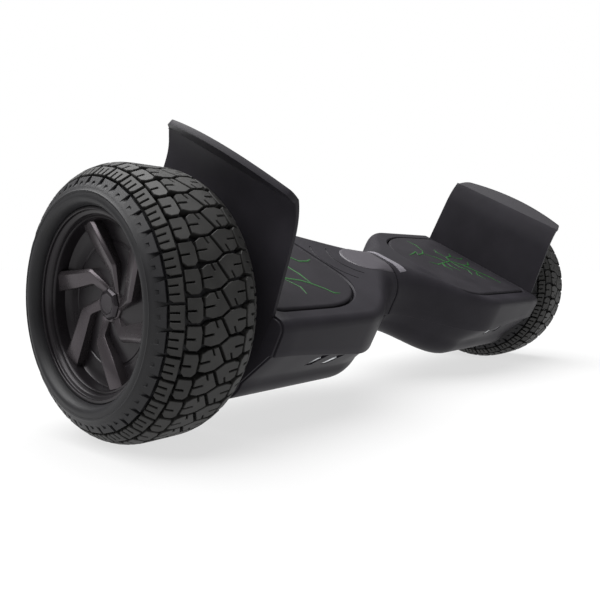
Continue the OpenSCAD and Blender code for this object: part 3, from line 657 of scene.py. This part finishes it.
# Lines moulded into the mats: a plain pattern of angular cracks, as (x, y) points for the right half
CRACKS = {
    "left": [
        [(152, 15), (141, 13), (135, 3), (122, 3), (112, 8)],
        [(236, -20), (214, -26), (191, -30), (172, -36), (163, -43), (155, -53), (151, -61), (143, -62)],
        [(172, 2), (163, -9), (161, -24), (163, -43)],
        [(236, 10), (205, 2), (186, 8), (172, 2)],
        [(230, 58), (204, 49), (188, 55), (168, 47), (158, 52)],
        [(204, 49), (197, 38), (202, 28)],
        [(191, -30), (184, -48), (188, -60)]],
    "right": [
        [(160, 68), (163, 54), (156, 38)],
        [(101, 23), (116, 27), (131, 33), (124, 24), (142, 28), (156, 38)],
        [(142, 28), (160, 16), (166, 3), (181, 6), (196, -6), (204, -24), (212, -40), (216, -58)],
        [(166, 3), (158, -10), (162, -22)],
        [(166, 3), (150, 0), (142, -10), (146, -20)],
        [(181, 6), (190, 18), (206, 20), (218, 30)],
        [(190, 18), (186, 32), (194, 42)],
        [(196, -6), (214, -6), (228, 4)],
        [(204, -24), (190, -34), (192, -46)],
        [(150, 0), (132, -4), (121, 4)],
        [(181, 6), (178, -12), (186, -22), (176, -34)],
        [(206, 20), (222, 12), (234, 16)]]}
CRACK_WIDTH = 2.8
CRACK_HEIGHT = 0.6
SHADOW_BED_WIDTH = 5.2            # of the black bed under each line, a painted shadow along both its sides
SHADOW_BED_HEIGHT = 0.2
RIDGE_SUNK = 0.4           # how deep a ridge's two edges lie in the mat

# Pegs under the mat, one over each switch
PEG_X = 128
PEG_Y = 38
PEG_R = 7
PEG_HEIGHTS = (25, 30.6)


def ridge(path, width, height):
    """A low ridge with a rounded back along level points, tapered at its two ends."""
    rows = []
    for i, (x, y) in enumerate(path):
        ahead = Vector(path[min(i + 1, len(path) - 1)]) - Vector(path[max(i - 1, 0)])
        across = Vector((-ahead.y, ahead.x)).normalized()
        size = 0.35 if i in (0, len(path) - 1) else 1.0
        half = width / 2 * size
        ring = []
        for aside, rise in ((-1, None), (-0.8, 0.7), (-0.4, 1), (0.4, 1), (0.8, 0.7), (1, None)):
            up = -RIDGE_SUNK if rise is None else height * rise * size
            ring.append((x + across.x * half * aside, y + across.y * half * aside, MAT_TOP + up))
        rows.append(ring)
    return loft(rows)


def foot_mat(which):
    side = SIDES[which]
    pegs = [prism(circle(PEG_X, y, PEG_R), *PEG_HEIGHTS) for y in (-PEG_Y, PEG_Y)]
    obj = new_object(which + "_mat", joined(mat_stack(which, MAT_LEVELS), *pegs), side)
    finish_piece(obj, which + "_pad", "mat_rubber", [which + "_foot_mat"])
    # Each green line lies on a wider near-black bed: painted shadow along the line's two sides
    for part, width, height, paint in (
            ("lines", CRACK_WIDTH, CRACK_HEIGHT, GREEN_PAINT),
            ("line_shadow_beds", SHADOW_BED_WIDTH, SHADOW_BED_HEIGHT, MATERIALS["seal_rubber"])):
        ridges = joined(*[ridge(path, width, height) for path in CRACKS[which]])
        lines = new_object(which + "_mat_" + part, ridges, side)
        finish_piece(lines, which + "_pad", "mat_rubber", material=paint, angle=20)


PATCH_SUNK = 1.5           # how deep the patch's underside lies in the shell
PATCH_EDGE = 0.35          # how far its rounded edge drops
PATCH_BEND = 0.985         # and where that rounding ends, as a share of the way from the centre


def patch(outline, centre, proud, crown, rings=9):
    """A thin domed plate over the upper shell: rings shrink from the outline to the centre."""
    def ring(share, drop=0.0):
        points = []
        for x, y in outline:
            px, py = mix(centre[0], x, share), mix(centre[1], y, share)
            points.append((px, py, surface_z(px, py) + proud - drop + crown * (1 - share * share)))
        return points

    underside = [(x, y, surface_z(x, y) - PATCH_SUNK) for x, y in outline]
    dome = [ring(1 - i / rings) for i in range(1, rings)]
    return loft([underside, ring(1.0, PATCH_EDGE), ring(PATCH_BEND)] + dome)


LENS_START_X = 3
LENS_DOME = (30, 0)


def status_lens():
    outline = [(mix(LENS_START_X, LENS_CENTRE_X, i / 6), -LENS_R) for i in range(6)]
    for i in range(41):
        a = math.radians(-90 + 180 * i / 40)
        outline.append((LENS_CENTRE_X + LENS_R * math.cos(a), LENS_R * math.sin(a)))
    outline += [(mix(LENS_CENTRE_X, LENS_START_X, i / 6), LENS_R) for i in range(1, 7)]
    outline += [(LENS_START_X, mix(LENS_R, -LENS_R, i / 10)) for i in range(1, 10)]
    obj = new_object("waist_lens", patch(outline, LENS_DOME, proud=0.5, crown=0.7), SIDES["left"])
    finish_piece(obj, "left_half", "pearl_lens", ["status_lens"], angle=50)


TRIM_CORNERS = [(1.6, 33), (11, 33), (21, -26), (9, -26)]
TRIM_DOME = (10.7, 2)


def centre_trim():
    outline = []
    for (x0, y0), (x1, y1) in zip(TRIM_CORNERS, TRIM_CORNERS[1:] + TRIM_CORNERS[:1]):
        steps = 4 if y0 == y1 else 12
        outline += [(mix(x0, x1, i / steps), mix(y0, y1, i / steps)) for i in range(steps)]
    strip = patch(outline, TRIM_DOME, proud=0.3, crown=0.2, rings=5)
    obj = new_object("waist_strip", strip, SIDES["right"])
    finish_piece(obj, "right_half", "trim_plastic", ["centre_trim"], angle=40)


# ---------------------------------------------------------------- wheels

CROWN_FLAT = 14.0
SHOULDER_R = 34.0
TYRE_R = 108.0
PITCHES = 35
PITCH = 2 * math.pi * TYRE_R / PITCHES
GROOVE_DEPTH = 6.0
GROOVE_FADE = (38, 54)     # the grooves get shallower from the first distance across the tread to the second


def tread_point(u, w, off):
    """A point of the tread: u round the tyre, w across it from its middle, off above its outer surface."""
    over = max(0.0, abs(w) - CROWN_FLAT) / SHOULDER_R
    r = TYRE_R - SHOULDER_R + (SHOULDER_R + off) * math.cos(over)
    h = math.copysign(min(abs(w), CROWN_FLAT) + (SHOULDER_R + off) * math.sin(over), w)
    a = u / TYRE_R
    return (HALF_TRACK + h, r * math.cos(a), r * math.sin(a))


def groove_floor(w):
    start, end = GROOVE_FADE
    return -GROOVE_DEPTH + GROOVE_DEPTH * ease((abs(w) - start) / (end - start))


# Tread blocks of one pitch on one side: outlines of (share of the pitch, mm from the middle), with sipes
BLOCKS = [
    [(0.20, 5.0), (0.85, -3.0), (1.10, 4.6), (1.16, 12.5), (1.08, 18.6), (0.80, 18.6), (0.74, 10.5),
     (0.69, 10.8), (0.74, 18.6), (0.42, 18.6), (0.28, 14.5), (0.25, 10.6), (0.50, 8.2), (0.49, 7.1),
     (0.24, 9.2)],
    [(0.06, 21.4), (0.28, 20.2), (0.80, 20.2), (0.95, 22.8), (0.95, 28.4), (0.80, 31.2), (0.55, 31.2),
     (0.55, 25.2), (0.49, 25.2), (0.49, 31.2), (0.06, 31.2)],
    [(0.05, 32.6), (0.95, 32.6), (0.95, 40.4), (0.84, 43.0), (0.68, 43.0), (0.68, 36.0), (0.62, 36.0),
     (0.62, 43.0), (0.36, 43.0), (0.36, 36.4), (0.30, 36.4), (0.30, 43.0), (0.05, 43.0)],
    [(0.05, 44.4), (0.95, 44.4), (0.92, 49.0), (0.84, 54.6), (0.62, 54.6), (0.58, 49.5), (0.44, 49.5),
     (0.40, 54.6), (0.16, 54.6)]]
ROW_SHIFT = (0.0, 0.35, 0.6, 0.6)
# Inset and height of a block's rings, from its top down. The last ring lies in the groove's floor
BLOCK_RINGS = ((0.55, 0.0), (0.15, -0.45), (-0.05, None))
BLOCK_SUNK = 0.8


def inset(outline, by):
    """Moves an outline's edges inwards. A sharp corner moves at most twice as far as the edges."""
    n = len(outline)
    edges = zip(outline, outline[1:] + outline[:1])
    area = sum(x0 * y1 - x1 * y0 for (x0, y0), (x1, y1) in edges)
    turn = 1 if area > 0 else -1
    moved = []
    for i in range(n):
        before, here, after = (Vector(outline[(i + k) % n]) for k in (-1, 0, 1))
        first = (here - before).normalized()
        second = (after - here).normalized()
        normal = Vector((-first.y - second.y, first.x + second.x)) * turn
        length = max(normal.length, 0.5)
        moved.append(tuple(here + normal / length * by * min(2.0, 2 / length)))
    return moved


def tread_block(outline, shift, flip):
    """One block of the tread. flip puts it on the tyre's other half, turned half way round."""
    corners = [((u + shift) * PITCH, w) for u, w in outline]
    if flip:
        corners = [(-u, -w) for u, w in corners]
    rows = []
    for by, top in BLOCK_RINGS:
        ring = []
        for u, w in inset(corners, by):
            ring.append(tread_point(u, w, groove_floor(w) - BLOCK_SUNK if top is None else top))
        rows.append(ring)
    return loft(rows)


def turned_about_axle(mesh_data, angle):
    points, faces = mesh_data
    c, s = math.cos(angle), math.sin(angle)
    return [(x, y * c - z * s, y * s + z * c) for x, y, z in points], faces


# Profiles of (radius, distance out from the wheel's middle): the lower sidewall with its rib, and the seat
SIDEWALL = [(84.8, 46.4), (84.3, 47.0), (83.4, 47.0), (82.9, 46.6), (81.0, 47.2), (79.0, 47.3), (77.0, 46.4),
            (75.6, 44.8), (74.6, 42.4), (73.9, 40.0), (73.8, 36.0)]
SEAT = [(69.7, 34.8), (69.7, -34.8)]
SHOULDER_TURN = math.radians(68)


def tyre(which):
    side = SIDES[which]
    half = []
    steps = 30
    for i in range(steps + 1):
        w = (CROWN_FLAT + SHOULDER_R * SHOULDER_TURN) * i / steps
        x, r, _ = tread_point(0, w, groove_floor(w))
        half.append((r, x - HALF_TRACK))
    half += SIDEWALL
    profile = [(r, -h) for r, h in reversed(half[1:])] + half + SEAT
    obj = new_object(which + "_tyre_carcass", lathe(profile, 4 * PITCHES), side)
    finish_piece(obj, which + "_wheel", "tyre_rubber", [which + "_tyre"], angle=30)
    for part, rows, paint in (
            ("crown", (0, 1, 2), TREAD_RUBBER),
            ("shoulder", (3,), MATERIALS["tyre_rubber"])):
        blocks = [tread_block(BLOCKS[row], ROW_SHIFT[row], flip) for row in rows for flip in (False, True)]
        one_pitch = joined(*blocks)
        tread = [turned_about_axle(one_pitch, 2 * math.pi * k / PITCHES) for k in range(PITCHES)]
        obj = new_object(which + "_tread_" + part, joined(*tread), side)
        finish_piece(obj, which + "_wheel", "tyre_rubber", material=paint, angle=30)


# Profiles of the rim with the motor's shell, and of the dish behind the spokes
RIM_PROFILE = [
    (73.5, 39.5), (73.5, 36), (69.5, 35), (69.5, -35), (73.5, -36), (73.5, -39.5), (70.5, -39.5), (64, -33),
    (64, -27), (57, -27), (57, 14), (26, 14), (26, 2), (21.1, 2), (21.1, 15), (12, 15), (12, 16.2),
    (0.01, 16.2), (0.01, 18.5), (57, 18.5), (66.5, 21.5), (67, 33.5), (68.3, 36), (70.8, 37), (70.8, 39.5)]
DISH_PROFILE = [
    (0.01, 18.8), (56.9, 18.8), (66.2, 21.8), (66.7, 33), (65.6, 33.2), (65.0, 32.4), (64.7, 31),
    (63.9, 23.6), (62.4, 22.4), (56.2, 20.6), (49.5, 20.4), (48.8, 19.8), (47.0, 19.8), (46.3, 20.4),
    (0.01, 20.4)]


def rim(which):
    obj = new_object(which + "_wheel_rim", lathe(RIM_PROFILE, 160), SIDES[which])
    bevel(obj, 0.7, segments=3, angle=28)
    finish_piece(obj, which + "_wheel", "rim_aluminium", [which + "_rim"], angle=30)


SPOKES = 6
SPOKE_PHASE = 48.0
SPOKE_FOOT = 19.4          # the spokes stand on the dish from this height
HUB_FACE = 22.0
COLLAR = [(0.01, 20), (14.4, 20), (13.4, HUB_FACE), (0.01, HUB_FACE)]
# Stations of a spoke from the hub to the rim: its two edges seen along the axle, and the height of its ridge
SPOKE_STATIONS = [
    ((5.3, 12.5), (8.9, 4.3), 22.6),
    ((15.5, 16.8), (14.8, 7.0), 24.6),
    ((25.4, 21.0), (21.2, 9.7), 26.8),
    ((28.2, 20.7), (23.4, 9.6), 27.4),
    ((45.0, 15.0), (42.5, 0.6), 29.2),
    ((64.4, 8.5), (64.4, -8.5), 31.0)]
RIDGE_AT = 0.22            # where the ridge runs, as a share of the way from the first edge to the second
EDGE_DROP = (1.6, 2.4)     # of the two edges under the ridge

KNOB_SIDES = 8
KNOB_LEVELS = [
    (12.5, 20.4), (12.5, HUB_FACE + 1.0), (10.6, HUB_FACE + 2.6), (8.6, HUB_FACE + 3.2),
    (7.4, HUB_FACE + 2.8), (0.5, HUB_FACE + 2.9)]


def spoke():
    rows = []
    for (ay, az), (by, bz), height in SPOKE_STATIONS:
        ry, rz = mix(ay, by, RIDGE_AT), mix(az, bz, RIDGE_AT)
        first = [(SPOKE_FOOT, ay, az), (height - EDGE_DROP[0], ay, az)]
        second = [(height - EDGE_DROP[1], by, bz), (SPOKE_FOOT, by, bz)]
        rows.append(first + [(height, ry, rz)] + second)
    points, faces = loft(rows)
    return [(HALF_TRACK + h, y, z) for h, y, z in points], faces


def wheel_cover(which):
    side = SIDES[which]
    # The dish belongs to the spoked cover but gets the darker rim finish: painted shade in the recess behind the
    # spokes
    dish = new_object(which + "_cover_dish", lathe(DISH_PROFILE, 144), side)
    finish_piece(dish, which + "_wheel", "cover_plastic", material=MATERIALS["rim_aluminium"], angle=30)
    arm = spoke()
    parts = [turned_about_axle(arm, math.radians(SPOKE_PHASE + 360 * i / SPOKES)) for i in range(SPOKES)]
    parts.append(lathe(COLLAR, 48))
    obj = new_object(which + "_spoked_cover", joined(*parts), side)
    bevel(obj, 0.45, segments=2, angle=30)
    finish_piece(obj, which + "_wheel", "cover_plastic", [which + "_wheel_cover"], angle=28)

    rows = []
    for r, h in KNOB_LEVELS:
        ring = []
        for k in range(KNOB_SIDES):
            a = 2 * math.pi * (k + 0.5) / KNOB_SIDES
            ring.append((HALF_TRACK + h, r * math.cos(a), r * math.sin(a)))
        rows.append(ring)
    cap = new_object(which + "_hub_knob", loft(rows), side)
    bevel(cap, 0.35, segments=2, angle=20)
    finish_piece(cap, which + "_wheel", "hub_plastic", [which + "_hub_cap"], angle=18)


for half_name in SIDES:
    top_shell(half_name)
    bottom_shell(half_name)
    fender(half_name)
    foot_mat(half_name)
    tyre(half_name)
    rim(half_name)
    wheel_cover(half_name)
status_lens()
centre_trim()


# ---------------------------------------------------------------- stage

FLOOR_REACH = 12.0
PAPER_GLOW = 0.68
OVERHEAD_POWER = 6.4
OVERHEAD_SPREAD = math.radians(75)
OVERHEAD_AIM = Vector((0.1, -0.25, -1))
ROOM_LIGHT = 0.25
CAMERA_PLACE = (-0.6103, -0.4298, 0.1384)
CAMERA_YAW = math.radians(41.07)
CAMERA_PITCH = math.radians(-3.18)
CAMERA_LENS = 38.376
CAMERA_SENSOR = 36


def aim(obj, direction):
    obj.rotation_euler = direction.to_track_quat("-Z", "Y").to_euler()


def floor():
    far = FLOOR_REACH
    mesh = bpy.data.meshes.new("floor")
    mesh.from_pydata([(-far, -far, 0), (far, -far, 0), (far, far, 0), (-far, far, 0)], [], [(0, 1, 2, 3)])
    obj = add_object("floor", mesh)
    paper = finish("floor_paper", (0.17, 0.17, 0.17), 0.8, grain=200, bump=0.01, spread=0.004,
                   rough_spread=0.02, blotch=3, gloss=0.0)
    shader = paper.node_tree.nodes["Principled BSDF"]
    shader.inputs["Emission Color"].default_value = (1, 1, 1, 1)
    shader.inputs["Emission Strength"].default_value = PAPER_GLOW
    mesh.materials.append(paper)


def area_light(name, where, target, size, power):
    data = bpy.data.lights.new(name, "AREA")
    data.size = size
    data.energy = power
    obj = add_object(name, data)
    obj.location = where
    aim(obj, Vector(target) - Vector(where))


def overhead_light():
    """Even soft light from above and a little behind, so the floor is white as far as it is seen."""
    data = bpy.data.lights.new("overhead", "SUN")
    data.energy = OVERHEAD_POWER
    data.angle = OVERHEAD_SPREAD
    aim(add_object("overhead", data), OVERHEAD_AIM)


def camera():
    data = bpy.data.cameras.new("camera")
    data.sensor_width = CAMERA_SENSOR
    data.lens = CAMERA_LENS
    data.clip_end = 100
    obj = add_object("camera", data)
    obj.location = CAMERA_PLACE
    level = math.cos(CAMERA_PITCH)
    aim(obj, Vector((math.cos(CAMERA_YAW) * level, math.sin(CAMERA_YAW) * level, math.sin(CAMERA_PITCH))))
    bpy.context.scene.camera = obj


def surroundings():
    """White behind everything the camera sees, and a dimmer even light on the board."""
    world = bpy.data.worlds.new("studio")
    world.use_nodes = True
    nodes, links = world.node_tree.nodes, world.node_tree.links
    dim = nodes["Background"]
    dim.inputs["Color"].default_value = (1, 1, 1, 1)
    dim.inputs["Strength"].default_value = ROOM_LIGHT
    paper = nodes.new("ShaderNodeBackground")
    paper.inputs["Color"].default_value = (1, 1, 1, 1)
    paper.inputs["Strength"].default_value = 1.0
    ray = nodes.new("ShaderNodeLightPath")
    choose = nodes.new("ShaderNodeMixShader")
    links.new(ray.outputs["Is Camera Ray"], choose.inputs["Fac"])
    links.new(dim.outputs["Background"], choose.inputs[1])
    links.new(paper.outputs["Background"], choose.inputs[2])
    links.new(choose.outputs["Shader"], nodes["World Output"].inputs["Surface"])
    bpy.context.scene.world = world
    bpy.context.scene.view_settings.view_transform = "Standard"


floor()
overhead_light()
area_light("left_soft", (-1.5, 0.5, 1.0), (-0.25, 0, 0.1), 0.6, 7)
camera()
surroundings()
